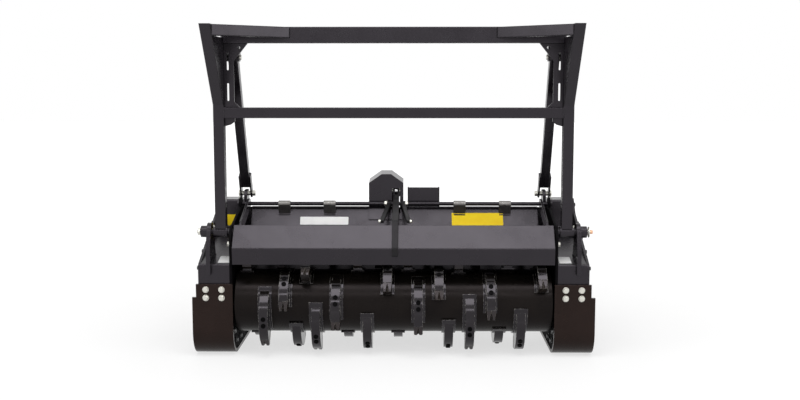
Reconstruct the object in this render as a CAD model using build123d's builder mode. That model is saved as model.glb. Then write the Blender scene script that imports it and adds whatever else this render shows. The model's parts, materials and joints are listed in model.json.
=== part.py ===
from build123d import *
import math
import os

# Drum mulcher, in millimetres. X runs along the rotor, +Y to the carrier, +Z up,
# with the floor at Z = 0. Side profiles are rows of (back, up) or (back, up, corner
# radius), where back is the distance behind the skids' front faces.
FRONT = -220.35

# Rotor
ROTOR_BACK = 155.0
ROTOR_UP = 252.0
TUBE_R = 152.4
TUBE_WALL = 20.0
TUBE_HALF = 764.0
TIP_R = 244.0
STUB_R = 35.0
TOOTH_PITCH = 49.2
FIRST_TOOTH_X = -716.7
HOLDER_WIDTH = 43.0
HOLDER_SWEEP = 82.0
HOLDER_CREST_R = 218.0
FOOT_WIDTH = 67.0
FOOT_THICK = 8.6
FOOT_FROM = -85.0
FOOT_TO = 3.0
TOOTH_WIDTH = 42.0
TOOTH_BACK = -32.0
TOOTH_THICK = 45.0
TOOTH_ROOT_R = 172.0
SEAT_FRONT = 8.0
NOTCH_HALF = 6.5
NOTCH_DEPTH = 10.0

# Turn of each tooth's tip about the rotor, in degrees, from left to right:
# 0 faces straight ahead and 90 points at the floor.
TOOTH_TURNS = (
    285, 160, 50, 232, -2, 118, -44, 78, 195, 22, 155, 281, 97, 224, -24,
    155, 279, 28, 192, -15, 110, -70, 63, 216, 8, 134, 264, 88, 184, -28,
)

# Side boxes
INNER_X = 776.0
PLATE = 12.0
OUTER_X = 939.0
SHEET = 8.0
REAR_BACK = 626.0
BEARING_R = 80.0
FLANGE_R = 112.0

# Cover of each side box: rows of (back, up, corner radius)
COVER_ROWS = (
    (16, 200, 0), (16, 452, 12), (480, 572, 10), (480, 715, 12), (626, 715, 12), (626, 100, 0),
)

# Skids
SKID_X = (772.0, 967.0)
SKID_TOP_X = 948.0
SKID_TOP = 358.0
SKID_STEP = 294.0
SKID_THICK = 16.0
SKID_BEND_R = 125.0
SKID_BOLT_X = 863.0
SKID_BOLT_SPACING = (76.0, 40.0)
SKID_BOLT_UP = 312.0
SKID_BOLT_R = 10.5

# Hood
SHELL_R = 272.0
SHELL_FROM = 112.0
SHELL_TO = -25.0
HOOD_HALF = 728.0
WALL_FOOT = (312.0, 590.0)
WALL_TOP = (374.0, 694.0)
DECK_FRONT = (396.0, 687.0)
DECK_REAR = (626.0, 600.0)
HINGE_BACK = 352.0
HINGE_UP = 708.0
HINGE_R = 10.0
KNUCKLE_R = 16.0
KNUCKLE_LONG = 60.0
KNUCKLE_XS = (-560.0, -330.0, 330.0, 560.0)

# Door in front of the rotor, and its cylinder
DOOR_HALF = 769.0
DOOR_THICK = 10.0
ARM_X = 735.0
ARM_THICK = 10.0
LEVER_X = 8.0
LEVER_THICK = 30.0
FORK_GAP = 16.0
EYE_R = 22.0
EYE_BORE_R = 15.2
LEVER_PIN_R = 10.0
PIN_R = 12.0
PIN_SLACK = 0.5
LEVER_PIN = (408.0, 770.0)
ANCHOR_PIN = (650.0, 742.0)
BARREL_R = 32.0
BARREL_FROM = 30.0
BARREL_TO = 148.0
ROD_R = 14.0

# Guard over the front
PIVOT_BACK = 60.0
PIVOT_UP = 606.0
PIVOT_PIN_R = 15.0
SLEEVE_R = 28.0
SLEEVE_X = (799.0, 866.0)
EAR_X = 875.0
EAR_THICK = 20.0
COLLAR_X = (895.0, 927.0)
POST_X = 830.0
TUBE = 50.0
TUBE_THIN = 5.0
POST_IN_X = POST_X - TUBE / 2
BEND_UP = 1222.0
HORN_TOP = (-233.0, 1580.0)
TOP_BAR_TALL = 76.0
MID_BAR_TOP = 1202.0
BRACE_X = 766.5
BRACE = 45.0
BRACE_THIN = 4.0
BRACE_TOP = (112.0, 1440.0)
BRACE_FOOT = (443.0, 752.0)
SADDLE_THICK = 16.0
SADDLE_SEAT_R = 13.3

# Mounting frame for the carrier
ATTACH_HALF = 565.0
ATTACH_BACK = 656.0
ATTACH_THICK = 10.0
ATTACH_SLOT_X = 400.0
ATTACH_SLOT = (70.0, 32.0)
RIB_XS = (-560.0, -210.0, 198.0, 548.0)
MOTOR_AT = (520.0, 470.0)
PORT_XS = (105.0, 147.0, 189.0)
PORT_R = 11.0

LEFT = -1
RIGHT = 1


def side_plane(x):
    return Plane.YZ.offset(x)


def place(back, up):
    """A (back, up) place as a point of a sketch on the YZ plane."""
    return (FRONT + back, up)


def outline(rows, close=True):
    """A line through side-profile rows, with each corner rounded by its third number."""
    points = [place(row[0], row[1]) for row in rows]
    radii = [row[2] if len(row) > 2 else 0 for row in rows]
    if any(radii):
        corners = radii if close else radii[1:-1]
        return FilletPolyline(*points, radius=corners, close=close)
    return Polyline(*points, close=close)


def save(name, *parts):
    """Join finished shapes into one named piece and write it."""
    with BuildPart() as piece:
        for part in parts:
            add(part)
    piece.part.label = name
    export_step(piece.part, f"parts/{name}.step")
    return piece.part


def save_pair(name, make):
    """One node for a left and a right piece on the same body."""
    return save(name, make(LEFT), make(RIGHT))


def bent_sheet(rows, thick, x_from, x_to, side):
    """A plate bent along a side profile, from one X to another."""
    with BuildPart() as sheet:
        with BuildSketch(side_plane(x_from)):
            with BuildLine():
                outline(rows, close=False)
                offset(amount=thick, side=side)
            make_face()
        extrude(amount=x_to - x_from)
    return sheet.part


def flat_plate(rows, x_from, thick, lobes=(), bores=()):
    """A plate in the YZ plane with round lobes and bores, as (back, up, radius)."""
    with BuildPart() as plate:
        with BuildSketch(side_plane(x_from)):
            with BuildLine():
                outline(rows)
            make_face()
            for back, up, radius in lobes:
                with Locations(place(back, up)):
                    Circle(radius)
            for back, up, radius in bores:
                with Locations(place(back, up)):
                    Circle(radius, mode=Mode.SUBTRACT)
        extrude(amount=thick)
    return plate.part


def round_bar(centre, radius, x_from, x_to, bore=0.0):
    """A round bar or tube that lies along X."""
    with BuildPart() as bar:
        with BuildSketch(side_plane(x_from)):
            with Locations(place(*centre)):
                Circle(radius)
                if bore:
                    Circle(bore, mode=Mode.SUBTRACT)
        extrude(amount=x_to - x_from)
    return bar.part


def box_tube(x_half, back, up, deep, tall, wall):
    """A rectangular tube across the machine, given by its front and lower edges."""
    with BuildPart() as tube:
        with BuildSketch(side_plane(-x_half)):
            with Locations(place(back + deep / 2, up + tall / 2)):
                Rectangle(deep, tall)
                Rectangle(deep - 2 * wall, tall - 2 * wall, mode=Mode.SUBTRACT)
        extrude(amount=2 * x_half)
    return tube.part


def mitred_tube(places, x, size, wall):
    """A square tube at one X through (back, up) places, mitred at its bends."""
    points = [Vector(x, *place(*spot)) for spot in places]
    with BuildPart() as tube:
        with BuildLine():
            Polyline(*points)
        with BuildSketch(Plane(origin=points[0], x_dir=(1, 0, 0), z_dir=points[1] - points[0])):
            Rectangle(size, size)
            Rectangle(size - 2 * wall, size - 2 * wall, mode=Mode.SUBTRACT)
        sweep(transition=Transition.RIGHT)
    return tube.part


def block(x_range, back_range, up_range):
    """A plain block by its ranges, kept out of any builder that is open."""
    ranges = [sorted(x_range), sorted(back_range), sorted(up_range)]
    size = [high - low for low, high in ranges]
    middle = [(low + high) / 2 for low, high in ranges]
    return Pos(middle[0], FRONT + middle[1], middle[2]) * Box(*size, mode=Mode.PRIVATE)


def on_line(start, end, back):
    """Height at one distance back on the line through two (back, up) places."""
    share = (back - start[0]) / (end[0] - start[0])
    return start[1] + share * (end[1] - start[1])


def deck_top(back):
    return on_line(DECK_FRONT, DECK_REAR, back)


def wall_face(back):
    return on_line(WALL_FOOT, WALL_TOP, back)


def cover_top(back):
    return on_line(COVER_ROWS[1], COVER_ROWS[2], back)


def rotor_plane(x, turn):
    """Plane across the rotor: x out to a tooth's tip, y the way the tooth cuts."""
    angle = math.radians(turn)
    return Plane(
        origin=(x, *place(ROTOR_BACK, ROTOR_UP)),
        x_dir=(0, -math.cos(angle), -math.sin(angle)),
        z_dir=(1, 0, 0),
    )


def polar(radius, degrees):
    angle = math.radians(degrees)
    return (radius * math.cos(angle), radius * math.sin(angle))


def tooth_holder():
    """A shark's fin that climbs from a curved foot plate to the seat behind the tooth."""
    heel = polar(TUBE_R, -HOLDER_SWEEP)
    crown = (TIP_R - 7, TOOTH_BACK)
    toe = (math.sqrt(TUBE_R**2 - SEAT_FRONT**2), SEAT_FRONT)
    rim = TUBE_R + FOOT_THICK
    middle = (FOOT_FROM + FOOT_TO) / 2
    with BuildPart() as holder:
        with BuildSketch(Plane.XY.offset(-HOLDER_WIDTH / 2)):
            with BuildLine():
                ThreePointArc(heel, polar(HOLDER_CREST_R, -40), crown)
                Polyline(crown, (TOOTH_ROOT_R, TOOTH_BACK), (TOOTH_ROOT_R, SEAT_FRONT), toe)
                ThreePointArc(toe, polar(TUBE_R, -HOLDER_SWEEP / 2), heel)
            make_face()
        extrude(amount=HOLDER_WIDTH)
        with BuildSketch(Plane.XY.offset(-FOOT_WIDTH / 2)):
            with BuildLine():
                ThreePointArc(polar(TUBE_R, FOOT_FROM), polar(TUBE_R, middle), polar(TUBE_R, FOOT_TO))
                Line(polar(TUBE_R, FOOT_TO), polar(rim, FOOT_TO))
                ThreePointArc(polar(rim, FOOT_TO), polar(rim, middle), polar(rim, FOOT_FROM))
                Line(polar(rim, FOOT_FROM), polar(TUBE_R, FOOT_FROM))
            make_face()
        extrude(amount=FOOT_WIDTH)
    return holder.part


def planer_tooth():
    """The bolted cutter: a block with a relieved back and a notched cutting edge."""
    half = TOOTH_WIDTH / 2
    face = TOOTH_BACK + TOOTH_THICK
    with BuildPart() as tooth:
        with BuildSketch(Plane.XY.offset(-half)):
            Polygon(
                (TOOTH_ROOT_R, TOOTH_BACK), (TIP_R - 9, TOOTH_BACK), (TIP_R, face - 12),
                (TIP_R, face), (TOOTH_ROOT_R + 12, face), (TOOTH_ROOT_R, face - 8),
                align=None,
            )
        extrude(amount=TOOTH_WIDTH)
        with BuildSketch(Plane.XZ.offset(-face)):
            Polygon((TIP_R + 1, -NOTCH_HALF - 1), (TIP_R - NOTCH_DEPTH, 0),
                    (TIP_R + 1, NOTCH_HALF + 1), align=None)
            Polygon((TIP_R - 7, half), (TIP_R + 1, half - 4), (TIP_R + 1, half), align=None)
            Polygon((TIP_R - 7, -half), (TIP_R + 1, 4 - half), (TIP_R + 1, -half), align=None)
        extrude(amount=TOOTH_THICK, mode=Mode.SUBTRACT)
    return tooth.part


def on_rotor(shape):
    """Copies of a shape, one at each tooth's place."""
    places = [
        rotor_plane(FIRST_TOOTH_X + slot * TOOTH_PITCH, turn).location
        for slot, turn in enumerate(TOOTH_TURNS)
    ]
    with BuildPart() as row:
        with Locations(*places):
            add(shape)
    return row.part


def rotor_end(side):
    """The disc let into one end of the tube, and the stub shaft in its bearing."""
    centre = (ROTOR_BACK, ROTOR_UP)
    with BuildPart() as end:
        add(round_bar(centre, TUBE_R - TUBE_WALL, side * (TUBE_HALF - 30), side * (TUBE_HALF - 4)))
        add(round_bar(centre, STUB_R, side * (TUBE_HALF - 4), side * (INNER_X + 24)))
    return end.part


def box_foot():
    """The lower edge that both plates of a side box share, from front to rear."""
    return [(16, 16, 109), (540, 16, 30), (REAR_BACK, 82, 8)]


def inner_plate(side):
    rows = box_foot() + [
        (REAR_BACK, 610, 12), (385, 706, 0), (310, 690, 40), (84, 634, 0), (30, 618, 0), (16, 590, 30),
    ]
    return flat_plate(
        rows, side * INNER_X, side * PLATE,
        lobes=((HINGE_BACK, HINGE_UP, 32), (PIVOT_BACK, PIVOT_UP, 32)),
        bores=(
            (ROTOR_BACK, ROTOR_UP, BEARING_R),
            (PIVOT_BACK, PIVOT_UP, PIVOT_PIN_R),
            (HINGE_BACK, HINGE_UP, HINGE_R),
        ),
    )


def outer_plate(side):
    rows = box_foot() + [(REAR_BACK, 715, 14), (546, 715, 14), (480, 645, 40), (16, 450, 20)]
    return flat_plate(rows, side * (OUTER_X - PLATE), side * PLATE)


def skid_bolt_holes(side):
    """Cutters for the four bolts that hold a skid to its side cover."""
    with BuildPart(mode=Mode.PRIVATE) as holes:
        with BuildSketch(Plane.XZ.offset(-FRONT)):
            with Locations((side * SKID_BOLT_X, SKID_BOLT_UP)):
                with GridLocations(*SKID_BOLT_SPACING, 2, 2):
                    Circle(SKID_BOLT_R)
        extrude(amount=-(SKID_THICK + SHEET))
    return holes.part


def side_cover(side):
    with BuildPart() as cover:
        add(bent_sheet(COVER_ROWS, SHEET, side * (INNER_X + PLATE), side * (OUTER_X - PLATE), Side.RIGHT))
        add(skid_bolt_holes(side), mode=Mode.SUBTRACT)
    return cover.part


def bearing(side):
    """The rotor's bearing housing, let into the inner plate and bolted by its flange."""
    centre = (ROTOR_BACK, ROTOR_UP)
    with BuildPart() as housing:
        add(round_bar(centre, BEARING_R, side * 770, side * (INNER_X + 40), STUB_R + 1))
        add(round_bar(centre, FLANGE_R, side * (INNER_X + PLATE), side * (INNER_X + PLATE + 14), BEARING_R))
    return housing.part


def skid(side):
    with BuildPart() as shoe:
        rows = ((0, SKID_TOP), (0, 0, SKID_BEND_R), (560, 0, 60), (612, 30))
        add(bent_sheet(rows, SKID_THICK, side * SKID_X[0], side * SKID_X[1], Side.LEFT))
        add(block((side * SKID_TOP_X, side * 990), (-5, 30), (SKID_STEP, 370)), mode=Mode.SUBTRACT)
        add(skid_bolt_holes(side), mode=Mode.SUBTRACT)
    return shoe.part


def build_sides():
    save_pair("inner_plates", inner_plate)
    save_pair("outer_plates", outer_plate)
    save_pair("side_covers", side_cover)
    save_pair("bearings", bearing)
    save_pair("skids", skid)


def build_rotor():
    tube = round_bar((ROTOR_BACK, ROTOR_UP), TUBE_R, -TUBE_HALF, TUBE_HALF, TUBE_R - TUBE_WALL)
    save("rotor_tube", tube)
    save_pair("rotor_ends", rotor_end)
    save("tooth_holders", on_rotor(tooth_holder()))
    save("planer_teeth", on_rotor(planer_tooth()))


def ring_place(radius, degrees):
    across, up = polar(radius, degrees)
    return place(ROTOR_BACK + across, ROTOR_UP + up)


def chamber_shell():
    """The arched roof over the rotor, which runs on as a straight skirt behind it."""
    start = ring_place(SHELL_R, SHELL_FROM)
    end = ring_place(SHELL_R, SHELL_TO)
    with BuildPart() as shell:
        with BuildSketch(side_plane(-INNER_X)):
            with BuildLine():
                ThreePointArc(start, ring_place(SHELL_R, 45), end)
                Line(end, (end[0] + 20, 60))
                offset(amount=SHEET, side=Side.LEFT)
            make_face()
        extrude(amount=2 * INNER_X)
    return shell.part


def counter_knife():
    """The bar inside the shell that the teeth pass."""
    with BuildPart() as knife:
        with BuildSketch(side_plane(-INNER_X)):
            Polygon(place(409, 214), place(440, 214), place(440, 264), place(411, 264), align=None)
            with Locations(place(ROTOR_BACK, ROTOR_UP)):
                Circle(SHELL_R, mode=Mode.INTERSECT)
        extrude(amount=2 * INNER_X)
    return knife.part


def hood_deck():
    """The front wall under the hinge, the sloping deck behind it and the lever's slot."""
    knee = (290, 540)
    with BuildPart() as hood:
        rows = (knee, (*WALL_FOOT, 20), (*WALL_TOP, 9), (DECK_FRONT[0] + 4, deck_top(DECK_FRONT[0] + 4)))
        add(bent_sheet(rows, SHEET, -HOOD_HALF, HOOD_HALF, Side.RIGHT))
        rows = (DECK_FRONT, DECK_REAR)
        add(bent_sheet(rows, SHEET, -INNER_X, INNER_X, Side.RIGHT))
        add(block((LEVER_X - 21, LEVER_X + 21), (325, 402), (660, 720)), mode=Mode.SUBTRACT)
    return hood.part


def hood_end(side, hood):
    """The plate that closes one end of the hood box, with the return to the side box."""
    with BuildPart() as end:
        rows = ((300, 520), (300, 560), WALL_FOOT, WALL_TOP, (404, 684), (404, 480))
        add(flat_plate(rows, side * (HOOD_HALF - SHEET), side * SHEET))
        add(block((side * HOOD_HALF, side * INNER_X), (396, 404), (480, 687)))
        add(hood, mode=Mode.SUBTRACT)
        add(round_bar((ROTOR_BACK, ROTOR_UP), SHELL_R + SHEET, -INNER_X, INNER_X), mode=Mode.SUBTRACT)
    return end.part.solids().sort_by(SortBy.VOLUME)[-1]


def hinge_knuckle(x):
    rows = ((336, 704), (352, 657.2), (371, 689), (366, 716))
    return flat_plate(
        rows, x - KNUCKLE_LONG / 2, KNUCKLE_LONG,
        lobes=((HINGE_BACK, HINGE_UP, KNUCKLE_R),), bores=((HINGE_BACK, HINGE_UP, HINGE_R),),
    )


def cylinder_shield():
    """A bent plate on the hood's wall that stands up in front of the door's cylinder."""
    with BuildPart() as shield:
        fold = 376.7
        rows = ((334, wall_face(334)), (fold, wall_face(fold), 5), (fold, 857))
        add(bent_sheet(rows, 5, -131, 45, Side.LEFT))
        with BuildSketch(Plane.XZ.offset(-FRONT - 300)):
            Polygon((-131, 620), (45, 620), (45, 812), (-18, 857), (-66, 857), (-131, 812), align=None)
            with Locations((LEVER_X, 722)):
                Rectangle(42, 124, mode=Mode.SUBTRACT)
        extrude(amount=-100, mode=Mode.INTERSECT)
    return shield.part


def hose_guard():
    """A flanged plate that stands on the deck in front of the hydraulic ports."""
    with BuildPart() as guard:
        with BuildSketch(Plane.XY.offset(670)):
            with BuildLine():
                FilletPolyline(
                    (66, FRONT + 424), (66, FRONT + 378), (229, FRONT + 378), (229, FRONT + 424), radius=9,
                )
                offset(amount=6, side=Side.LEFT)
            make_face()
        extrude(amount=119)
        rows = ((360, 600), (360, deck_top(360)), (440, deck_top(440)), (440, 600))
        add(flat_plate(rows, 0, 300), mode=Mode.SUBTRACT)
    return guard.part


def hydraulic_port(x):
    """One hose port: a square body with a round spigot that is open to the rear."""
    with BuildPart() as port:
        add(block((x - 18, x + 18), (384, 422), (705, 765)))
        with BuildSketch(Plane.XZ.offset(-FRONT - 422)):
            with Locations((x, 737)):
                Circle(16)
        extrude(amount=-10)
        with BuildSketch(Plane.XZ.offset(-FRONT - 432)):
            with Locations((x, 737)):
                Circle(PORT_R)
        extrude(amount=30, mode=Mode.SUBTRACT)
    return port.part


def build_hood():
    shell = save("chamber_shell", chamber_shell())
    hood = save("hood_deck", hood_deck())
    save("counter_knife", counter_knife())
    save_pair("hood_ends", lambda side: hood_end(side, hood))
    save("hinge_rod", round_bar((HINGE_BACK, HINGE_UP), HINGE_R, -INNER_X - 24, INNER_X + 24))
    save("hinge_knuckles", *[hinge_knuckle(x) for x in KNUCKLE_XS])
    save("cylinder_shield", cylinder_shield())
    save("hose_guard", hose_guard())
    save("hydraulic_ports", *[hydraulic_port(x) for x in PORT_XS])
    build_frame(hood, shell)


def door_plate():
    rows = ((56, 638), (-20, 534, 14), (-12, 456))
    return bent_sheet(rows, DOOR_THICK, -DOOR_HALF, DOOR_HALF, Side.LEFT)


def door_arm(side, plate):
    rows = (
        (40, 618), (72, 652, 10), (330, 735), (356, 684), (120, 606, 60), (0, 480), (-14, 500), (-12, 534),
    )
    with BuildPart() as arm:
        add(flat_plate(
            rows, side * ARM_X, side * ARM_THICK,
            lobes=((HINGE_BACK, HINGE_UP, 26),), bores=((HINGE_BACK, HINGE_UP, HINGE_R + PIN_SLACK),),
        ))
        add(plate, mode=Mode.SUBTRACT)
    return arm.part.solids().sort_by(SortBy.VOLUME)[-1]


def door_lever(plate):
    """The thick fin over the door's nose, carried back over the hinge to the rod's pin."""
    rows = (
        (-36, 498, 6), (-36, 540, 20), (46, 662, 20), (330, 731, 60), (377, 750, 10), (386, 779),
        (430, 762), (388, 700, 20), (346, 684), (66, 634), (56, 638), (-20, 534), (-16.3, 498),
    )
    with BuildPart() as fin:
        add(flat_plate(
            rows, LEVER_X - LEVER_THICK / 2, LEVER_THICK,
            lobes=((HINGE_BACK, HINGE_UP, 24), (*LEVER_PIN, EYE_R + 2)),
            bores=((HINGE_BACK, HINGE_UP, HINGE_R + PIN_SLACK), (*LEVER_PIN, LEVER_PIN_R)),
        ))
        add(plate, mode=Mode.SUBTRACT)
        gap = (LEVER_X - FORK_GAP / 2, LEVER_X + FORK_GAP / 2)
        add(block(gap, (LEVER_PIN[0] - 30, 470), (LEVER_PIN[1] - 30, 830)), mode=Mode.SUBTRACT)
    return fin.part


def door_yoke():
    """Two struts that spread from the hinge rod to the top edge of the door."""
    with BuildPart() as yoke:
        for foot_x, top_x in ((-58, -26), (74, 42)):
            foot = Vector(foot_x, *place(72, 652))
            top = Vector(top_x, *place(HINGE_BACK, HINGE_UP))
            along = top - foot
            with BuildSketch(Plane(origin=foot, x_dir=(1, -along.X / along.Y, 0), z_dir=along)):
                Rectangle(20, 14)
            extrude(amount=along.length)
            add(round_bar((HINGE_BACK, HINGE_UP), 14, top_x - 12, top_x + 12))
        add(round_bar((HINGE_BACK, HINGE_UP), HINGE_R + PIN_SLACK, -100, 100), mode=Mode.SUBTRACT)
    return yoke.part


def build_door():
    plate = save("door_plate", door_plate())
    save_pair("door_arms", lambda side: door_arm(side, plate))
    save("door_lever", door_lever(plate))
    save("lever_pin", round_bar(LEVER_PIN, LEVER_PIN_R, LEVER_X - 22, LEVER_X + 22))
    save("door_yoke", door_yoke())


def cylinder_plane():
    """Plane at the anchor pin with its normal along the cylinder, towards the rod's eye."""
    return Plane(
        origin=(LEVER_X, *place(*ANCHOR_PIN)),
        x_dir=(1, 0, 0),
        z_dir=(0, LEVER_PIN[0] - ANCHOR_PIN[0], LEVER_PIN[1] - ANCHOR_PIN[1]),
    )


def cylinder_barrel():
    axis = cylinder_plane()
    with BuildPart() as barrel:
        with BuildSketch(axis.offset(BARREL_FROM)):
            Circle(BARREL_R)
        extrude(amount=BARREL_TO - BARREL_FROM)
        with BuildSketch(axis):
            Rectangle(24, 36)
        extrude(amount=BARREL_FROM + 2)
        add(round_bar(ANCHOR_PIN, 22, LEVER_X - 12, LEVER_X + 12))
        with BuildSketch(axis.offset(BARREL_FROM + 16)):
            Circle(ROD_R + 1)
        extrude(amount=BARREL_TO, mode=Mode.SUBTRACT)
        add(round_bar(ANCHOR_PIN, PIN_R + PIN_SLACK, LEVER_X - 20, LEVER_X + 20), mode=Mode.SUBTRACT)
    return barrel.part


def cylinder_rod():
    """The rod with its eye, bored wide so that it can drift about the lever's pin."""
    axis = cylinder_plane()
    reach = math.dist(LEVER_PIN, ANCHOR_PIN)
    with BuildPart() as rod:
        with BuildSketch(axis.offset(100)):
            Circle(ROD_R)
        extrude(amount=reach - 100 - 32)
        with BuildSketch(axis.offset(reach - 40)):
            Rectangle(14, 26)
        extrude(amount=40)
        add(round_bar(LEVER_PIN, EYE_R, LEVER_X - 7, LEVER_X + 7))
        add(round_bar(LEVER_PIN, EYE_BORE_R, LEVER_X - 20, LEVER_X + 20), mode=Mode.SUBTRACT)
    return rod.part


def cylinder_anchor():
    rows = ((600, deck_top(600)), (DECK_REAR[0], DECK_REAR[1]), (646, 660, 10), (675, 737), (634, 722))
    cheeks = []
    for x in (LEVER_X - 28, LEVER_X + 16):
        cheeks.append(flat_plate(rows, x, 12, lobes=((*ANCHOR_PIN, 26),), bores=((*ANCHOR_PIN, PIN_R),)))
    return cheeks


def build_cylinder():
    save("cylinder_barrel", cylinder_barrel())
    save("cylinder_rod", cylinder_rod())
    save("cylinder_anchor", *cylinder_anchor())
    save("anchor_pin", round_bar(ANCHOR_PIN, PIN_R, LEVER_X - 34, LEVER_X + 34))


def guard_sleeve(side):
    centre = (PIVOT_BACK, PIVOT_UP)
    return round_bar(centre, SLEEVE_R, side * SLEEVE_X[0], side * SLEEVE_X[1], PIVOT_PIN_R + PIN_SLACK)


def guard_post(side):
    """The upright on its pivot sleeve, mitred into the horn that leans forward."""
    x = side * POST_X
    lean = (HORN_TOP[0] - PIVOT_BACK, HORN_TOP[1] - BEND_UP)
    tip = (HORN_TOP[0] + 0.1 * lean[0], HORN_TOP[1] + 0.1 * lean[1])
    with BuildPart() as post:
        add(mitred_tube(((PIVOT_BACK, PIVOT_UP), (PIVOT_BACK, BEND_UP), tip), x, TUBE, TUBE_THIN))
        add(block((x - 40, x + 40), (-400, 0), (HORN_TOP[1], HORN_TOP[1] + 120)), mode=Mode.SUBTRACT)
        add(round_bar((PIVOT_BACK, PIVOT_UP), SLEEVE_R, x - 40, x + 40), mode=Mode.SUBTRACT)
    return post.part.solids().sort_by(SortBy.VOLUME)[-1]


def guard_web(side):
    """The plate between the horn, the upright and the end of the top bar."""
    rows = ((85, 1231), (-159.6, 1530, 8), (35, 1530, 8), (35, 1578), (85, 1578))
    return flat_plate(rows, side * POST_IN_X, side * 8)


def guard_gusset(side):
    """The plates in the upper and lower corners of the guard's window."""
    upper = ((805, 1202), (731, 1202), (757, 1228), (757, 1420), (690, 1504), (805, 1504))
    lower = ((805, 1152), (756, 1152), (756, 1135), (776, 1120), (805, 1112))
    with BuildPart() as gusset:
        with BuildSketch(Plane.XZ.offset(-FRONT - 70)):
            Polygon(*[(side * x, up) for x, up in upper], align=None)
            Polygon(*[(side * x, up) for x, up in lower], align=None)
            with Locations((side * 732, 1484)):
                Circle(7.5, mode=Mode.SUBTRACT)
            with Locations((side * 786, 1420), (side * 786, 1275)):
                SlotOverall(84, 10, rotation=90, mode=Mode.SUBTRACT)
        extrude(amount=10)
    return gusset.part


def corner_strut(side):
    """The square tube from the horn's top back to the top bar."""
    start = Vector(side * 880, FRONT - 263, HORN_TOP[1] - 26)
    end = Vector(side * 440, FRONT + 105, HORN_TOP[1] - 26)
    along = end - start
    with BuildPart() as strut:
        with BuildSketch(Plane(origin=start, x_dir=(0, 0, 1), z_dir=along)):
            Rectangle(TUBE, TUBE)
            Rectangle(TUBE - 2 * TUBE_THIN, TUBE - 2 * TUBE_THIN, mode=Mode.SUBTRACT)
        extrude(amount=along.length)
        add(block((side * POST_IN_X, side * 1000), (-500, 500), (1400, 1700)), mode=Mode.SUBTRACT)
        add(block((-900, 900), (35, 400), (1400, 1700)), mode=Mode.SUBTRACT)
    return strut.part


def brace(side):
    """A rear brace: a square tube with two cheeks that straddle the saddle on the deck."""
    x = side * BRACE_X
    reach = math.dist(BRACE_TOP, BRACE_FOOT)
    along = ((BRACE_TOP[0] - BRACE_FOOT[0]) / reach, (BRACE_TOP[1] - BRACE_FOOT[1]) / reach)

    def spot(distance, across=0.0):
        return (
            BRACE_FOOT[0] + distance * along[0] - across * along[1],
            BRACE_FOOT[1] + distance * along[1] + across * along[0],
        )

    rows = (spot(110, 22), spot(110, -22), spot(0, -22), spot(0, 22))
    with BuildPart() as piece:
        add(mitred_tube((spot(48), spot(reach + 24)), x, BRACE, BRACE_THIN))
        for start in (x - BRACE / 2 - 8, x + BRACE / 2):
            add(flat_plate(rows, start, 8, lobes=((*BRACE_FOOT, 22),)))
        add(round_bar(BRACE_FOOT, PIN_R, x - 40, x + 40), mode=Mode.SUBTRACT)
        add(round_bar(BRACE_TOP, PIN_R, x - 40, x + 40), mode=Mode.SUBTRACT)
    return piece.part


def brace_pins(side):
    x = side * BRACE_X
    with BuildPart() as pins:
        add(round_bar(BRACE_FOOT, PIN_R, x - 38, x + 38))
        add(round_bar(BRACE_FOOT, 14, x - side * 31, x - side * 46))
        add(round_bar(BRACE_TOP, PIN_R, x - 38, x + 38))
    return pins.part


def brace_lugs(side):
    """The two ears behind the top bar that hold a brace's upper pin."""
    x = side * BRACE_X
    rows = ((85, 1572, 8), (85, 1480), (86, 1420, 10), (130, 1420, 16), (136, 1450, 16), (110, 1572, 8))
    with BuildPart() as lugs:
        for start in (x - 31.5, x + 24.5):
            add(flat_plate(rows, start, 7, bores=((*BRACE_TOP, PIN_R),)))
    return lugs.part


def pivot_ear(side):
    """The thick lug that stands on the side cover and carries the pivot pin's outer end."""
    rows = (
        (-10, 405), (16, 405), (16, 452), (140, cover_top(140)), (100, 600), (60, 649), (17, 618, 20), (-10, 520, 30),
    )
    return flat_plate(
        rows, side * EAR_X, side * EAR_THICK,
        lobes=((PIVOT_BACK, PIVOT_UP, 43),), bores=((PIVOT_BACK, PIVOT_UP, PIVOT_PIN_R),),
    )


def pivot_pin(side):
    centre = (PIVOT_BACK, PIVOT_UP)
    with BuildPart() as pin:
        add(round_bar(centre, PIVOT_PIN_R, side * (INNER_X - 2), side * 943))
        add(round_bar(centre, SLEEVE_R, side * COLLAR_X[0], side * COLLAR_X[1]))
    return pin.part


def brace_saddle(side):
    """The ear on the deck whose open notch seats a brace's lower pin."""
    x = side * BRACE_X
    swing = (PIVOT_UP - BRACE_FOOT[1], BRACE_FOOT[0] - PIVOT_BACK)
    rows = (
        (402, deck_top(402)), (500, deck_top(500)), (478, 745, 12), (468, 772, 8), (420, 772, 8), (404, 745, 12),
    )
    with BuildPart() as saddle:
        add(flat_plate(rows, x - SADDLE_THICK / 2, SADDLE_THICK))
        seat = Plane(origin=(x - 20, *place(*BRACE_FOOT)), x_dir=(0, *swing), z_dir=(1, 0, 0))
        with BuildSketch(seat):
            Circle(SADDLE_SEAT_R)
            with Locations((30, 0)):
                Rectangle(60, 2 * SADDLE_SEAT_R)
        extrude(amount=40, mode=Mode.SUBTRACT)
    return saddle.part


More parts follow.
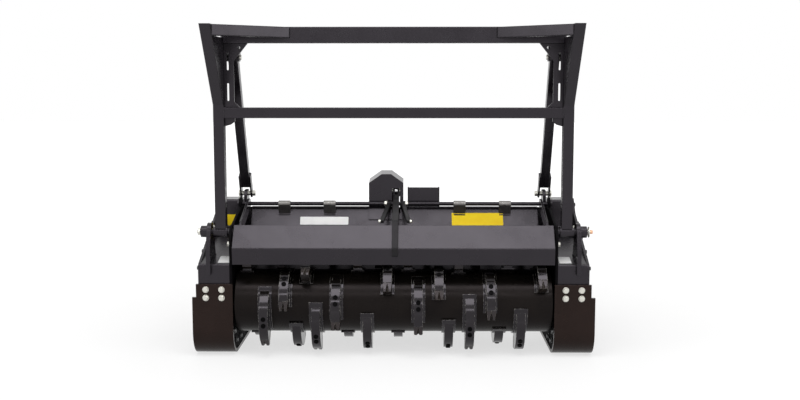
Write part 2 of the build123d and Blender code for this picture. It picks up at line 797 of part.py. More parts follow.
def build_guard():
    save_pair("guard_sleeves", guard_sleeve)
    save_pair("guard_posts", guard_post)
    save_pair("guard_webs", guard_web)
    save_pair("guard_gussets", guard_gusset)
    save_pair("guard_corner_struts", corner_strut)
    save("guard_mid_bar", box_tube(POST_IN_X, 35, MID_BAR_TOP - TUBE, TUBE, TUBE, TUBE_THIN))
    save("guard_top_bar", box_tube(POST_IN_X, 35, HORN_TOP[1] - TOP_BAR_TALL, TUBE, TOP_BAR_TALL, TUBE_THIN))
    save_pair("braces", brace)
    save_pair("brace_pins", brace_pins)
    save_pair("brace_lugs", brace_lugs)
    save_pair("pivot_ears", pivot_ear)
    save_pair("pivot_pins", pivot_pin)
    save_pair("brace_saddles", brace_saddle)


def attach_plate():
    """The carrier's coupling plate: a leaning top lip and a lower shelf with two slots."""
    with BuildPart() as plate:
        rows = ((690, 640), (ATTACH_BACK, 600, 12), (ATTACH_BACK, 150, 12), (706, 104))
        add(bent_sheet(rows, ATTACH_THICK, -ATTACH_HALF, ATTACH_HALF, Side.RIGHT))
        with BuildSketch(Plane.XY.offset(60)):
            with Locations((-ATTACH_SLOT_X, FRONT + 681), (ATTACH_SLOT_X, FRONT + 681)):
                SlotOverall(*ATTACH_SLOT)
        extrude(amount=110, mode=Mode.SUBTRACT)
    return plate.part


def frame_rib(x, hood, shell):
    front_face = ATTACH_BACK - ATTACH_THICK
    rows = (
        (440, 84, 20), (front_face, 130), (front_face, 585, 10), (DECK_REAR[0], deck_top(626)),
        (404, deck_top(404)), WALL_TOP, WALL_FOOT, (330, 520), (410, 400),
    )
    with BuildPart() as rib:
        add(flat_plate(rows, x, 12))
        add(hood, mode=Mode.SUBTRACT)
        add(shell, mode=Mode.SUBTRACT)
        add(round_bar((ROTOR_BACK, ROTOR_UP), SHELL_R + SHEET, -INNER_X, INNER_X), mode=Mode.SUBTRACT)
    return rib.part.solids().sort_by(SortBy.VOLUME)[-1]


def build_frame(hood, shell):
    save("attach_plate", attach_plate())
    save("frame_ribs", *[frame_rib(x, hood, shell) for x in RIB_XS])
    case = round_bar(MOTOR_AT, 90, -INNER_X, -590)
    nose = round_bar(MOTOR_AT, 62, -590, -572)
    save("hydraulic_motor", case, nose)


os.makedirs("parts", exist_ok=True)
build_sides()
build_rotor()
build_hood()
build_door()
build_cylinder()
build_guard()
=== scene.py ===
import bpy
import bmesh
import json
import math
from mathutils import Matrix, Vector


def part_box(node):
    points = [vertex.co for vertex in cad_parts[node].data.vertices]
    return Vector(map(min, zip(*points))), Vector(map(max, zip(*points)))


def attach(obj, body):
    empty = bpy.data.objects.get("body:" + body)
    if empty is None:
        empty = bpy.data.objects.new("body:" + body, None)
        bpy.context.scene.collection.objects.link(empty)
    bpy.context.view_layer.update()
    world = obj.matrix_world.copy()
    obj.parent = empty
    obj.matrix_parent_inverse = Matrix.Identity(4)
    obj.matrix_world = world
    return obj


# Dresses the drum mulcher. Everything is in metres, in the part's own frame:
# X along the rotor, +Y to the carrier, +Z up. Side places are (back, up), where
# back is the distance behind the front face of the skids.

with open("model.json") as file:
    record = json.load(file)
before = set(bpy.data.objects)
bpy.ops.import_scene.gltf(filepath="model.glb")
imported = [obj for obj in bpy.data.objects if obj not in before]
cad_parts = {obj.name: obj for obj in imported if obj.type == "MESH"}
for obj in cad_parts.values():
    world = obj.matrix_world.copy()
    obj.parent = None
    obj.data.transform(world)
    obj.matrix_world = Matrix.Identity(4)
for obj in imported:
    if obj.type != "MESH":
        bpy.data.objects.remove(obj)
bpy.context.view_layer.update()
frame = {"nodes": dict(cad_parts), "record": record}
nodes = frame["nodes"]

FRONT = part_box("skids")[0].y

# Camera, fitted to the photograph
CAMERA_AT = (0.093, -4.917, 1.318)
CAMERA_DOWN = 6.40
CAMERA_TURN = 0.71
LENS = 46.96

# Driving dimensions
SKID_BOLT_X = (0.825, 0.901)
SKID_BOLT_UP = (0.292, 0.332)
TOOTH_PITCH = 0.0492
FIRST_TOOTH_X = -0.7167
TOOTH_TURNS = (
    285, 160, 50, 232, -2, 118, -44, 78, 195, 22, 155, 281, 97, 224, -24,
    155, 279, 28, 192, -15, 110, -70, 63, 216, 8, 134, 264, 88, 184, -28,
)
ROTOR = (0.155, 0.252)
SOCKETS = ((0.179, -0.1325), (0.2025, -0.1105))
SOCKET_PROFILE = ((0.0115, -0.004), (0.0115, 0.0022), (0.0105, 0.0032), (0.0080, 0.0032), (0.0072, 0.0014))
INNER_PLATE_X = 0.776
OUTER_PLATE_X = 0.939
INNER_BOLTS = ((0.105, 0.062), (0.215, 0.058), (0.052, 0.118), (0.330, 0.066))
COVER_BOLTS = (
    (0.050, 0.180), (0.050, 0.330), (0.050, 0.430), (0.170, 0.492), (0.300, 0.545), (0.430, 0.598),
    (0.560, 0.680), (0.592, 0.560), (0.592, 0.420), (0.592, 0.280), (0.592, 0.140), (0.480, 0.052),
    (0.330, 0.052), (0.180, 0.052),
)
COVER_FRONT = (0.016, 0.452)
COVER_RUN = 0.464
COVER_RISE = 0.120
PIVOT = (0.060, 0.606)
PIVOT_NUT_X = -0.931
PIVOT_WASHER_X = 0.9315
PIVOT_PLUG_X = 0.943
NIPPLE_X = 0.8625
NIPPLE_FOOT = (0.046, 0.630)
STOP_BOLT_X = 0.788
STOP_BOLT = (0.060, 0.546)
HINGE = (0.352, 0.708)
YOKE_NUTS = ((-0.0385, -1), (0.0545, 1))
YOKE_SCREWS = ((-0.0645, -1), (0.0805, 1))
YOKE_FOOT = (0.0715, 0.6545)
WALL_FOOT = (0.312, 0.590)
WALL_TOP = (0.374, 0.694)
KNUCKLE_XS = (-0.560, -0.330, 0.330, 0.560)
KNUCKLE_HALF = 0.029
WALL_SEAM = (0.3475, 0.6525)
RIB_XS = (-0.560, -0.210, 0.198, 0.548)
RIB_HALF = 0.006
RIB_SEAM_BACK = 0.6440
RIB_SEAM_UPS = (0.200, 0.560)
EAR_XS = (0.875, 0.895)
EAR_SEAM = ((0.020, 0.4535), (0.136, 0.4832))
POST_X = 0.805
BAR_FRONT = 0.0345
BAR_TOP = 1.2025
BAR_SEAM_UPS = (1.154, 1.200)
BAR_SEAM_BACKS = (0.037, 0.083)
BRACE_PIN_END_X = 0.8045
BRACE_PINS = ((0.443, 0.752), (0.112, 1.440))
HORN_X = 0.830
HORN_TOP = (-0.233, 1.5760)
HORN_CAP_HALF = (0.0202, 0.0255)
CARD_THICK = 0.0012
CARD_CORNER = 0.004

# Bolt sizes: width across the flats, radius of the washer, height of the head
SMALL_BOLT = (0.018, 0.0125, 0.0075)
STOP_BOLT_SIZE = (0.022, 0.0135, 0.012)
YOKE_SCREW_SIZE = (0.015, 0.0095, 0.006)

# Cover of the cylinder's shield: rows of (x, up) at its front and rear ends
SHIELD_FOOT = ((-0.1305, 0.811), (-0.066, 0.856), (-0.018, 0.856), (0.0445, 0.811))
SHIELD_CREST = ((-0.1305, 0.825), (-0.0694, 0.868), (-0.0146, 0.868), (0.0445, 0.825))
SHIELD_BACKS = (0.3725, 0.4850)
SHIELD_SHEET = 0.003


def at(x, back, up):
    return Vector((x, FRONT + back, up))


# Materials
def new_material(name):
    material = bpy.data.materials.new(name)
    material.use_nodes = True
    tree = material.node_tree
    return material, tree, tree.nodes["Principled BSDF"]


def add_node(tree, kind, inputs=None, **settings):
    node = tree.nodes.new(kind)
    for key, value in settings.items():
        setattr(node, key, value)
    for key, value in (inputs or {}).items():
        node.inputs[key].default_value = value
    return node


def noise(tree, scale, detail=4.0, roughness=0.55):
    coords = add_node(tree, "ShaderNodeTexCoord")
    texture = add_node(
        tree, "ShaderNodeTexNoise", {"Scale": scale, "Detail": detail, "Roughness": roughness}
    )
    tree.links.new(coords.outputs["Object"], texture.inputs["Vector"])
    return texture.outputs["Fac"]


def ramp(tree, source, stops):
    node = add_node(tree, "ShaderNodeValToRGB")
    elements = node.color_ramp.elements
    for index, (position, colour) in enumerate(stops):
        element = elements[index] if index < 2 else elements.new(position)
        element.position = position
        element.color = (*colour, 1)
    tree.links.new(source, node.inputs["Fac"])
    return node.outputs["Color"]


def remap(tree, source, low, high, from_low=0.3, from_high=0.7):
    node = add_node(
        tree, "ShaderNodeMapRange",
        {"From Min": from_low, "From Max": from_high, "To Min": low, "To Max": high},
    )
    tree.links.new(source, node.inputs["Value"])
    return node.outputs["Result"]


def mix_colours(tree, factor, first, second):
    node = add_node(tree, "ShaderNodeMix", data_type="RGBA")
    tree.links.new(factor, node.inputs["Factor"])
    for socket, value in ((node.inputs[6], first), (node.inputs[7], second)):
        if isinstance(value, tuple):
            socket.default_value = (*value, 1)
        else:
            tree.links.new(value, socket)
    return node.outputs[2]


def edge_mask(tree, radius, low, high):
    """1 along the sharp edges of a piece and 0 on its faces."""
    bevel = add_node(tree, "ShaderNodeBevel", {"Radius": radius}, samples=6)
    geometry = add_node(tree, "ShaderNodeNewGeometry")
    dot = add_node(tree, "ShaderNodeVectorMath", operation="DOT_PRODUCT")
    tree.links.new(bevel.outputs["Normal"], dot.inputs[0])
    tree.links.new(geometry.outputs["Normal"], dot.inputs[1])
    node = add_node(
        tree, "ShaderNodeMapRange", {"From Min": high, "From Max": low, "To Min": 0.0, "To Max": 1.0}
    )
    tree.links.new(dot.outputs["Value"], node.inputs["Value"])
    return node.outputs["Result"]


def set_bump(tree, shader, height, strength, distance, edge_radius):
    """Bump over corners that catch the light as rounded ones do."""
    bump = add_node(tree, "ShaderNodeBump", {"Strength": strength, "Distance": distance})
    tree.links.new(height, bump.inputs["Height"])
    if edge_radius:
        bevel = add_node(tree, "ShaderNodeBevel", {"Radius": edge_radius}, samples=6)
        tree.links.new(bevel.outputs["Normal"], bump.inputs["Normal"])
    tree.links.new(bump.outputs["Normal"], shader.inputs["Normal"])


def powder_coat(
    name, dark, light, rough=(0.2, 0.3), shine=0.39, edge_radius=0.003, edge_wear_and_glint=None, edge_wear_and_glint_share=0.5,
    tint=(0.97, 0.90, 1.0),
):
    """Semi-gloss coat with orange peel, faint dust and, if asked, pale rubbed edges, which are real wear on
    some coats and painted edge highlight on others.
    """
    material, tree, shader = new_material(name)
    shader.inputs["Specular IOR Level"].default_value = shine
    shader.inputs["Specular Tint"].default_value = (*tint, 1)
    colour = ramp(tree, noise(tree, 7.0, 6.0), ((0.35, dark), (0.7, light)))
    # Pale edge colour from a noise-broken edge mask: real wear, and on the holders and teeth largely a
    # painted highlight standing for edge glints.
    if edge_wear_and_glint:
        patches = remap(tree, noise(tree, 45.0, 8.0, 0.7), 0.0, 1.0, 0.45, 0.6)
        edges = edge_mask(tree, edge_radius * 1.4, 0.80, 0.97)
        both = add_node(tree, "ShaderNodeMath", operation="MULTIPLY")
        tree.links.new(patches, both.inputs[0])
        tree.links.new(edges, both.inputs[1])
        share = add_node(tree, "ShaderNodeMath", {1: edge_wear_and_glint_share}, operation="MULTIPLY")
        tree.links.new(both.outputs[0], share.inputs[0])
        colour = mix_colours(tree, share.outputs[0], colour, edge_wear_and_glint)
    tree.links.new(colour, shader.inputs["Base Color"])
    tree.links.new(remap(tree, noise(tree, 11.0, 5.0), *rough), shader.inputs["Roughness"])
    set_bump(tree, shader, noise(tree, 420.0, 2.0), 0.10, 0.0004, edge_radius)
    return material


def bare_metal(name, dark, light, rough=(0.25, 0.45)):
    """Plated or bare steel with a fine grain."""
    material, tree, shader = new_material(name)
    shader.inputs["Metallic"].default_value = 1.0
    colour = ramp(tree, noise(tree, 160.0, 8.0, 0.7), ((0.3, dark), (0.7, light)))
    tree.links.new(colour, shader.inputs["Base Color"])
    tree.links.new(remap(tree, noise(tree, 64.0, 6.0), *rough), shader.inputs["Roughness"])
    set_bump(tree, shader, noise(tree, 480.0, 3.0), 0.15, 0.0004, 0.0015)
    return material


def blank_plate(name, dark, light, shine=0.5):
    """A plain film or sheet label with faint mottling."""
    material, tree, shader = new_material(name)
    shader.inputs["Specular IOR Level"].default_value = shine
    colour = ramp(tree, noise(tree, 30.0, 3.0), ((0.3, dark), (0.7, light)))
    tree.links.new(colour, shader.inputs["Base Color"])
    tree.links.new(remap(tree, noise(tree, 60.0, 3.0), 0.35, 0.5), shader.inputs["Roughness"])
    set_bump(tree, shader, noise(tree, 300.0, 2.0), 0.05, 0.0003, 0.0)
    return material


BLACK = ((0.0060, 0.0048, 0.0064), (0.0095, 0.0078, 0.0100))
coat = powder_coat("black_coat", *BLACK)
tube_coat = powder_coat("tube_coat", *BLACK, edge_radius=0.007)
# Lighter, glossier copy of the black coat for the shield's lip: the lighter colour is painted sheen, on top
# of the real gloss.
lip_painted_sheen_coat = powder_coat(
    "lip_painted_sheen_coat", (0.012, 0.011, 0.012), (0.020, 0.018, 0.020), rough=(0.12, 0.20), shine=1.0,
    edge_radius=0.001,
)
# Darker, duller copy of the black coat for the inner plates: painted shade for the deep housing.
painted_shade_inner_coat = powder_coat(
    "painted_shade_inner_coat", (0.0030, 0.0028, 0.0032), (0.0060, 0.0056, 0.0062), rough=(0.7, 0.85), shine=0.05,
)
worn_coat = powder_coat(
    "worn_coat", (0.0095, 0.0045, 0.0035), (0.0160, 0.0085, 0.0070), rough=(0.18, 0.32), shine=0.20,
    edge_radius=0.004, edge_wear_and_glint=(0.070, 0.060, 0.052), tint=(1.0, 0.82, 0.77),
)
rotor_coat = powder_coat(
    "rotor_coat", (0.0045, 0.0038, 0.0032), (0.0090, 0.0072, 0.0058), rough=(0.22, 0.36), shine=0.12,
    edge_radius=0.004, edge_wear_and_glint=(0.05, 0.045, 0.04), tint=(1.0, 0.86, 0.88),
)
# Holders: the pale rubbed edges are partly real wear and mostly a painted highlight standing for edge glints.
holder_coat = powder_coat(
    "holder_coat", (0.0035, 0.0030, 0.0028), (0.0070, 0.0058, 0.0050), rough=(0.08, 0.18), shine=0.38,
    edge_radius=0.004, edge_wear_and_glint=(0.42, 0.40, 0.37), edge_wear_and_glint_share=0.9,
)
# Teeth: the pale rubbed edges are partly real wear and partly a painted highlight standing for edge glints.
tooth_steel = powder_coat(
    "tooth_steel", (0.011, 0.0085, 0.0070), (0.028, 0.021, 0.0165), rough=(0.2, 0.34), shine=0.4,
    edge_wear_and_glint=(0.30, 0.27, 0.24), edge_wear_and_glint_share=0.9,
)
# Near-black, matt coat on the sunk socket screws: painted shade standing for the dark recesses.
socket_painted_shade = powder_coat(
    "socket_painted_shade", (0.002, 0.002, 0.002), (0.004, 0.004, 0.004), rough=(0.5, 0.6), shine=0.04,
    edge_radius=0.0,
)
cast_body = powder_coat(
    "cast_body", (0.008, 0.008, 0.008), (0.014, 0.014, 0.014), rough=(0.4, 0.6), shine=0.2, edge_radius=0.004,
)
zinc = bare_metal("zinc_steel", (0.50, 0.49, 0.44), (0.72, 0.71, 0.66))
dark_steel = bare_metal("dark_steel", (0.05, 0.05, 0.05), (0.10, 0.10, 0.10))
knuckle_steel = bare_metal("knuckle_steel", (0.15, 0.145, 0.14), (0.26, 0.25, 0.24))
copper = bare_metal("copper_pin", (0.62, 0.34, 0.20), (0.78, 0.46, 0.30))
chrome = bare_metal("chrome_rod", (0.55, 0.55, 0.56), (0.65, 0.65, 0.66), rough=(0.08, 0.14))
yellow = blank_plate("yellow_plate", (0.95, 0.66, 0.010), (1.0, 0.73, 0.020), shine=0.12)
white = blank_plate("white_plate", (0.90, 0.90, 0.89), (0.95, 0.95, 0.94))
rubber = blank_plate("black_plug", (0.010, 0.010, 0.010), (0.018, 0.018, 0.018))

SLOT_MATERIALS = {
    "black_coat": coat, "worn_coat": worn_coat, "rotor_coat": rotor_coat, "tooth_steel": tooth_steel,
    "cast_body": cast_body, "zinc_steel": zinc, "chrome_rod": chrome,
}

# Nodes whose finish differs from the rest of their slot
NODE_MATERIALS = {
    # The inner plates' darker coat is painted shade.
    "tooth_holders": holder_coat, "inner_plates": painted_shade_inner_coat, "hinge_knuckles": knuckle_steel,
    "door_yoke": cast_body, "door_lever": cast_body, "guard_posts": tube_coat,
    "guard_corner_struts": tube_coat, "guard_mid_bar": tube_coat, "guard_top_bar": tube_coat,
    "braces": tube_coat,
}

for subpart in frame["record"]["subparts"]:
    node_name = subpart["node"]
    mesh = nodes[node_name].data
    mesh.materials.clear()
    mesh.materials.append(NODE_MATERIALS.get(node_name, SLOT_MATERIALS[subpart["material_slot"]]))


# Pieces
def finish_piece(name, mesh_builder, body, material, smooth_angle=None):
    mesh = bpy.data.meshes.new(name)
    mesh_builder.normal_update()
    mesh_builder.to_mesh(mesh)
    mesh_builder.free()
    piece = bpy.data.objects.new(name, mesh)
    bpy.context.scene.collection.objects.link(piece)
    mesh.materials.append(material)
    if smooth_angle:
        mesh.shade_smooth()
        mesh.set_sharp_from_angle(angle=math.radians(smooth_angle))
    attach(piece, body)
    return piece


def placed(origin, normal, spin=0.0):
    """A transform whose local +Z leaves the origin along the normal."""
    turn = Vector(normal).to_track_quat("Z", "Y").to_matrix().to_4x4()
    return Matrix.Translation(origin) @ turn @ Matrix.Rotation(spin, 4, "Z")


def add_turned(builder, transform, profile, sides=24):
    """A turned form from (radius, height) rows, closed at both ends."""
    rings = []
    for radius, height in profile:
        ring = []
        for step in range(sides):
            angle = 2 * math.pi * step / sides
            spot = Vector((radius * math.cos(angle), radius * math.sin(angle), height))
            ring.append(builder.verts.new(transform @ spot))
        rings.append(ring)
    for low, high in zip(rings, rings[1:]):
        for step in range(sides):
            after = (step + 1) % sides
            builder.faces.new((low[step], low[after], high[after], high[step]))
    builder.faces.new(list(reversed(rings[0])))
    builder.faces.new(rings[-1])


def add_bolt(builder, origin, normal, across=0.024, washer=0.0155, height=0.010, spin=0.0):
    """A washer under a six-sided head with a turned crown."""
    flat = placed(origin, normal, spin)
    add_turned(builder, flat, ((washer, 0.0), (washer, 0.0025), (washer - 0.0006, 0.003)), 28)
    corner = across / math.sqrt(3)
    top = 0.003 + height
    add_turned(builder, flat, ((corner, 0.003), (corner, top - 0.0015), (corner * 0.93, top - 0.0004)), 6)
    crown = ((across * 0.47, top - 0.0008), (across * 0.45, top), (across * 0.30, top + 0.0002))
    add_turned(builder, flat, crown, 24)


def rotor_place(turn, radial, ahead):
    """Centre and direction on the rotor's section for a tooth turned to that angle."""
    angle = math.radians(turn)
    out = Vector((0, -math.cos(angle), -math.sin(angle)))
    lead = Vector((0, math.sin(angle), -math.cos(angle)))
    return at(0, *ROTOR) + out * radial + lead * ahead, out, lead


def skid_bolts():
    builder = bmesh.new()
    for side in (-1, 1):
        for x in SKID_BOLT_X:
            for up in SKID_BOLT_UP:
                add_bolt(builder, at(side * x, 0, up), (0, -1, 0), spin=x * 40 + up * 90 + side)
    finish_piece("skid_bolts", builder, "housing", zinc, 35)


def tooth_bolts():
    """Two socket screws sunk into each holder's ramp, in line with the tooth; their near-black matt finish is
    painted shade for the recesses.
    """
    builder = bmesh.new()
    for slot, turn in enumerate(TOOTH_TURNS):
        x = FIRST_TOOTH_X + slot * TOOTH_PITCH
        for radial, ahead in SOCKETS:
            origin, out, lead = rotor_place(turn, radial, ahead)
            origin.x = x
            outward = (out * 0.72 - lead * 0.70).normalized()
            add_turned(builder, placed(origin, outward), SOCKET_PROFILE, 20)
    finish_piece("tooth_bolts", builder, "rotor", socket_painted_shade, 35)


def wall_plate(name, x_from, x_to, low, high, material):
    """A blank plate on the sloping wall under the hinge, from low to high along the slope."""
    foot = at(0, *WALL_FOOT)
    up = (at(0, *WALL_TOP) - foot).normalized()
    out = Vector((0, -up.z, up.y))
    builder = bmesh.new()
    corners = []
    for x, along in ((x_from, low), (x_to, low), (x_to, high), (x_from, high)):
        spot = foot + up * along
        spot.x = x
        corners.append(spot)
    add_card(builder, corners, out, CARD_THICK, CARD_CORNER)
    finish_piece(name, builder, "housing", material, 35)


def add_card(builder, corners, out, thick, radius):
    """A thin card with rounded corners on the plane of its four corners."""
    ring = []
    for index, corner in enumerate(corners):
        before = (corners[index - 1] - corner).normalized()
        after = (corners[(index + 1) % 4] - corner).normalized()
        centre = corner + (before + after) * radius
        for step in range(5):
            angle = math.pi / 2 * step / 4
            ring.append(centre - after * radius * math.cos(angle) - before * radius * math.sin(angle))
    low = [builder.verts.new(spot) for spot in ring]
    high = [builder.verts.new(spot + out * thick) for spot in ring]
    count = len(ring)
    for step in range(count):
        after = (step + 1) % count
        builder.faces.new((low[step], low[after], high[after], high[step]))
    builder.faces.new(high)
    builder.faces.new(list(reversed(low)))


def front_plate(name, centre_x, centre_up, width, height, back, material):
    """A blank plate on an upright face that looks straight ahead."""
    builder = bmesh.new()
    corners = [
        at(centre_x + dx * width / 2, back, centre_up + dz * height / 2)
        for dx, dz in ((-1, -1), (1, -1), (1, 1), (-1, 1))
    ]
    add_card(builder, corners, Vector((0, -1, 0)), CARD_THICK, CARD_CORNER)
    finish_piece(name, builder, "housing", material, 35)


def cover_plate(name, x_from, x_to, front, rear, material):
    """A blank plate on a side cover's sloping top."""
    slope = Vector((0, COVER_RUN, COVER_RISE)).normalized()
    cover_back, cover_up = COVER_FRONT
    out = Vector((0, -slope.z, slope.y))
    builder = bmesh.new()
    corners = []
    for x, back in ((x_from, front), (x_to, front), (x_to, rear), (x_from, rear)):
        corners.append(at(x, back, cover_up + (back - cover_back) * COVER_RISE / COVER_RUN))
    add_card(builder, corners, out, CARD_THICK, CARD_CORNER)
    finish_piece(name, builder, "housing", material, 35)


def add_ring(builder, transform, radius, wire, sides=28, cross=8):
    """A closed wire ring in the transform's own XY plane."""
    loops = []
    for step in range(sides):
        angle = 2 * math.pi * step / sides
        loop = []
        for part in range(cross):
            bend = 2 * math.pi * part / cross
            reach = radius + wire * math.cos(bend)
            spot = Vector((reach * math.cos(angle), reach * math.sin(angle), wire * math.sin(bend)))
            loop.append(builder.verts.new(transform @ spot))
        loops.append(loop)
    for step in range(sides):
        low, high = loops[step], loops[(step + 1) % sides]
        for part in range(cross):
            after = (part + 1) % cross
            builder.faces.new((low[part], high[part], high[after], low[after]))


def add_weld(builder, start, end, out, size=0.0045):
    """A seam of weld ripples from one point to another, raised along out."""
    start, end, out = Vector(start), Vector(end), Vector(out).normalized()
    along = (end - start).normalized()
    across = along.cross(out).normalized()
    count = max(6, round((end - start).length / 0.0022))
    rows = []
    for step in range(count + 1):
        share = step / count
        middle = start.lerp(end, share)
        swell = size * (0.8 + 0.2 * abs(math.sin(step * math.pi / 3)))
        if step in (0, count):
            swell *= 0.4
        row = []
        for part in range(7):
            angle = math.pi * part / 6
            reach = across * math.cos(angle) + out * 0.7 * math.sin(angle)
            row.append(builder.verts.new(middle + reach * swell))
        rows.append(row)
    for low, high in zip(rows, rows[1:]):
        for part in range(6):
            builder.faces.new((low[part], low[part + 1], high[part + 1], high[part]))
        builder.faces.new((low[6], low[0], high[0], high[6]))
    builder.faces.new(list(reversed(rows[0])))
    builder.faces.new(rows[-1])


def inner_bolts():
    """The bolts low on the inner plates, clear of the rotor's sweep."""
    builder = bmesh.new()
    for side in (-1, 1):
        for back, up in INNER_BOLTS:
            add_bolt(builder, at(side * INNER_PLATE_X, back, up), (-side, 0, 0), *SMALL_BOLT, back * 60)
    finish_piece("inner_bolts", builder, "housing", dark_steel, 35)


def pivot_ends():
    """The nut on the left pivot pin, and the washer and soft plug on the right one."""
    builder = bmesh.new()
    left = placed(at(PIVOT_NUT_X, *PIVOT), (-1, 0, 0))
    nut = ((0.0185, 0.0), (0.0185, 0.0105), (0.0170, 0.0118), (0.0080, 0.0118), (0.0070, 0.0170))
    add_turned(builder, left, nut, 6)
    right = placed(at(PIVOT_WASHER_X, *PIVOT), (1, 0, 0))
    washer = ((0.0165, 0.0), (0.0165, 0.003), (0.0265, 0.0045), (0.0265, 0.0085), (0.0160, 0.0115))
    add_turned(builder, right, washer, 28)
    finish_piece("pivot_nuts", builder, "housing", zinc, 35)
    builder = bmesh.new()
    add_turned(
        builder, placed(at(PIVOT_PLUG_X, *PIVOT), (1, 0, 0)),
        ((0.0090, 0.0), (0.0095, 0.004), (0.0090, 0.0125), (0.0060, 0.0140)), 20,
    )
    finish_piece("pivot_plug", builder, "housing", copper, 35)


def shield_lip():
    """The thin cover that runs back from the top of the cylinder's shield."""
    front, rear = SHIELD_BACKS
    builder = bmesh.new()
    loops = []
    for (low_x, low_up), (high_x, high_up) in zip(SHIELD_FOOT, SHIELD_CREST):
        spots = (
            (low_x, front, low_up), (high_x, rear, high_up),
            (high_x, rear, high_up - SHIELD_SHEET), (low_x, front, low_up - SHIELD_SHEET),
        )
        loops.append([builder.verts.new(at(*spot)) for spot in spots])
    for left, right in zip(loops, loops[1:]):
        for part in range(4):
            after = (part + 1) % 4
            builder.faces.new((left[part], right[part], right[after], left[after]))
    builder.faces.new(loops[0])
    builder.faces.new(list(reversed(loops[-1])))
    bmesh.ops.recalc_face_normals(builder, faces=builder.faces)
    finish_piece("shield_lip", builder, "housing", lip_painted_sheen_coat)


def stop_bolts():
    """The bolts on the side boxes' inner plates, below the pivots."""
    builder = bmesh.new()
    for side in (-1, 1):
        add_bolt(builder, at(side * STOP_BOLT_X, *STOP_BOLT), (side, 0, 0), *STOP_BOLT_SIZE)
    finish_piece("stop_bolts", builder, "housing", zinc, 35)


def door_fasteners():
    """Nuts on the hinge rod beside the yoke, and the screws at the yoke's feet."""
    builder = bmesh.new()
    for x, out in YOKE_NUTS:
        add_turned(
            builder, placed(at(x, *HINGE), (out, 0, 0)),
            ((0.0165, 0.0), (0.0165, 0.0025), (0.0150, 0.0028), (0.0150, 0.0125), (0.0138, 0.0140)), 6,
        )
    for x, out in YOKE_SCREWS:
        add_bolt(builder, at(x, *YOKE_FOOT), (out, -0.2, 0.1), *YOKE_SCREW_SIZE)
    finish_piece("door_fasteners", builder, "door", zinc, 35)


def brace_rings():
    """Retaining nuts and pull rings on the braces' pins."""
    builder = bmesh.new()
    for side in (-1, 1):
        outer = side * BRACE_PIN_END_X
        for back, up in BRACE_PINS:
            add_turned(
                builder, placed(at(outer - side * 0.002, back, up), (side, 0, 0)),
                ((0.0155, 0.0), (0.0155, 0.003), (0.0135, 0.0042), (0.0105, 0.0042)), 24,
            )
            lean = placed(at(outer - side * 0.001, back, up - 0.016), (side, 0, 0.25))
            add_ring(builder, lean, 0.017, 0.0016)
    finish_piece("brace_rings", builder, "guard", zinc, 35)


def grease_nipples():
    """One on each sleeve that turns on a pivot pin."""
    builder = bmesh.new()
    for side in (-1, 1):
        add_turned(
            builder, placed(at(side * NIPPLE_X, *NIPPLE_FOOT), (0, -0.5, 0.86)),
            ((0.0050, -0.003), (0.0050, 0.003), (0.0030, 0.0045), (0.0042, 0.0075), (0.0024, 0.0105)), 14,
        )
    finish_piece("grease_nipples", builder, "guard", zinc, 35)


def cover_bolts():
    """The bolts that hold each side box's outer plate."""
    builder = bmesh.new()
    for side in (-1, 1):
        for back, up in COVER_BOLTS:
            spin = back * 50 + up * 30
            add_bolt(builder, at(side * OUTER_PLATE_X, back, up), (side, 0, 0), *SMALL_BOLT, spin)
    finish_piece("cover_bolts", builder, "housing", dark_steel, 35)


def horn_caps():
    """Flat caps let into the open tops of the horns."""
    half_width, half_depth = HORN_CAP_HALF
    back, up = HORN_TOP
    builder = bmesh.new()
    for side in (-1, 1):
        corners = [
            at(side * HORN_X + dx * half_width, back + dy * half_depth, up)
            for dx, dy in ((-1, -1), (1, -1), (1, 1), (-1, 1))
        ]
        add_card(builder, corners, Vector((0, 0, 1)), 0.0032, 0.003)
    finish_piece("horn_caps", builder, "guard", rubber, 35)


def weld_seams():
    """Welds where the guard's middle bar meets its posts, and at the ears, knuckles and ribs."""
    guard, housing = bmesh.new(), bmesh.new()
    bar_low, bar_high = BAR_SEAM_UPS
    bar_near, bar_far = BAR_SEAM_BACKS
    ear_start, ear_end = EAR_SEAM
    rib_low, rib_high = RIB_SEAM_UPS
    for side in (-1, 1):
        x = side * POST_X
        add_weld(guard, at(x, BAR_FRONT, bar_low), at(x, BAR_FRONT, bar_high), (-side * 0.6, -1, 0))
        add_weld(guard, at(x, bar_near, BAR_TOP), at(x, bar_far, BAR_TOP), (-side * 0.6, 0, 1))
        for ear, lean in zip(EAR_XS, (-1, 1)):
            add_weld(
                housing, at(side * ear, *ear_start), at(side * ear, *ear_end),
                (side * lean, -0.2, 0.9), 0.005,
            )
    for x in KNUCKLE_XS:
        add_weld(
            housing, at(x - KNUCKLE_HALF, *WALL_SEAM), at(x + KNUCKLE_HALF, *WALL_SEAM), (0, -1, 0.2), 0.004,
        )
    for x in RIB_XS:
        for edge in (-1, 1):
            seam_x = x + edge * RIB_HALF
            start, end = at(seam_x, RIB_SEAM_BACK, rib_low), at(seam_x, RIB_SEAM_BACK, rib_high)
            add_weld(housing, start, end, (edge * 0.6, -1, 0), 0.0045)
    finish_piece("guard_welds", guard, "guard", coat, 60)
    finish_piece("housing_welds", housing, "housing", coat, 60)


skid_bolts()
tooth_bolts()
inner_bolts()
pivot_ends()
shield_lip()
stop_bolts()
door_fasteners()
brace_rings()
grease_nipples()
cover_bolts()
horn_caps()
weld_seams()
wall_plate("yellow_plate_right", 0.2906, 0.550, 0.0105, 0.082, yellow)
wall_plate("white_plate_wall", -0.479, -0.234, 0.0165, 0.0596, white)
front_plate("yellow_plate_left", -0.842, 0.607, 0.066, 0.058, 0.480, yellow)
cover_plate("white_plate_left", -0.846, -0.790, 0.035, 0.108, white)
cover_plate("white_plate_right", 0.798, 0.855, 0.035, 0.108, white)


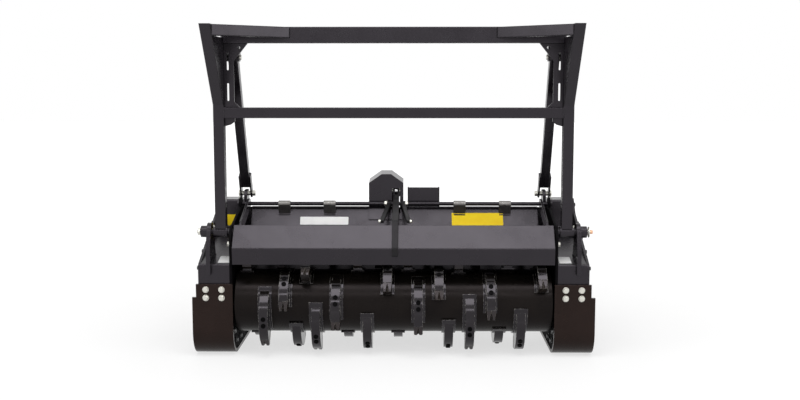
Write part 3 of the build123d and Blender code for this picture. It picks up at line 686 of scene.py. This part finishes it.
# Stage, camera and light
def seen_directly(tree):
    """1 for what the camera sees itself, in a mirror or through glass, and 0 for light on things."""
    path = add_node(tree, "ShaderNodeLightPath")
    total = path.outputs["Is Camera Ray"]
    for kind in ("Is Glossy Ray", "Is Transmission Ray"):
        either = add_node(tree, "ShaderNodeMath", operation="MAXIMUM")
        tree.links.new(total, either.inputs[0])
        tree.links.new(path.outputs[kind], either.inputs[1])
        total = either.outputs[0]
    return total


def pale_floor():
    """A pale floor that keeps the shadow and fades to white away from the part."""
    bpy.ops.mesh.primitive_plane_add(size=60, location=(0, 0, -0.0005))
    floor = bpy.context.object
    floor.name = "floor"
    material, tree, shader = new_material("floor")
    colour = ramp(tree, noise(tree, 0.6, 2.0), ((0.3, (0.30, 0.30, 0.30)), (0.7, (0.32, 0.32, 0.32))))
    tree.links.new(colour, shader.inputs["Base Color"])
    shader.inputs["Roughness"].default_value = 0.7
    shader.inputs["Specular IOR Level"].default_value = 0.1
    shader.inputs["Emission Color"].default_value = (1, 1, 1, 1)
    coords = add_node(tree, "ShaderNodeTexCoord")
    distance = add_node(tree, "ShaderNodeVectorMath", operation="LENGTH")
    tree.links.new(coords.outputs["Object"], distance.inputs[0])
    glow = add_node(tree, "ShaderNodeMath", operation="MULTIPLY")
    tree.links.new(remap(tree, distance.outputs["Value"], 0.665, 1.0, 1.2, 6.0), glow.inputs[0])
    tree.links.new(seen_directly(tree), glow.inputs[1])
    tree.links.new(glow.outputs[0], shader.inputs["Emission Strength"])
    floor.data.materials.append(material)


def area_light(name, location, target, size, power, size_y=None):
    data = bpy.data.lights.new(name, "AREA")
    data.shape = "RECTANGLE"
    data.size = size
    data.size_y = size_y or size
    data.energy = power
    light = bpy.data.objects.new(name, data)
    light.location = location
    light.rotation_euler = (Vector(target) - Vector(location)).to_track_quat("-Z", "Y").to_euler()
    bpy.context.scene.collection.objects.link(light)


def studio():
    """Three soft lamps, a narrow strip in front and an even sky."""
    world = bpy.data.worlds.new("studio")
    bpy.context.scene.world = world
    world.use_nodes = True
    tree = world.node_tree
    background = tree.nodes["Background"]
    background.inputs["Color"].default_value = (1, 1, 1, 1)
    tree.links.new(remap(tree, seen_directly(tree), 0.5, 1.0, 0.0, 1.0), background.inputs["Strength"])
    area_light("overhead", (0, -1.7, 4.2), (0, -0.1, 0.7), 3.4, 96, 2.2)
    area_light("front", (0, -3.2, 2.35), (0, -0.1, 0.4), 3.0, 14, 0.3)
    area_light("left", (-3.6, -2.2, 2.4), (0, 0, 0.6), 1.8, 25)
    area_light("right", (3.8, -1.8, 2.2), (0, 0, 0.6), 1.8, 25)


def camera():
    """The photograph's viewing angle and framing."""
    data = bpy.data.cameras.new("camera")
    data.lens = LENS
    data.sensor_width = 36.0
    data.clip_end = 100
    view = bpy.data.objects.new("camera", data)
    view.location = at(*CAMERA_AT)
    view.rotation_euler = (math.radians(90 - CAMERA_DOWN), 0, math.radians(CAMERA_TURN))
    bpy.context.scene.collection.objects.link(view)
    bpy.context.scene.camera = view


pale_floor()
studio()
camera()
bpy.context.scene.view_settings.view_transform = "Standard"
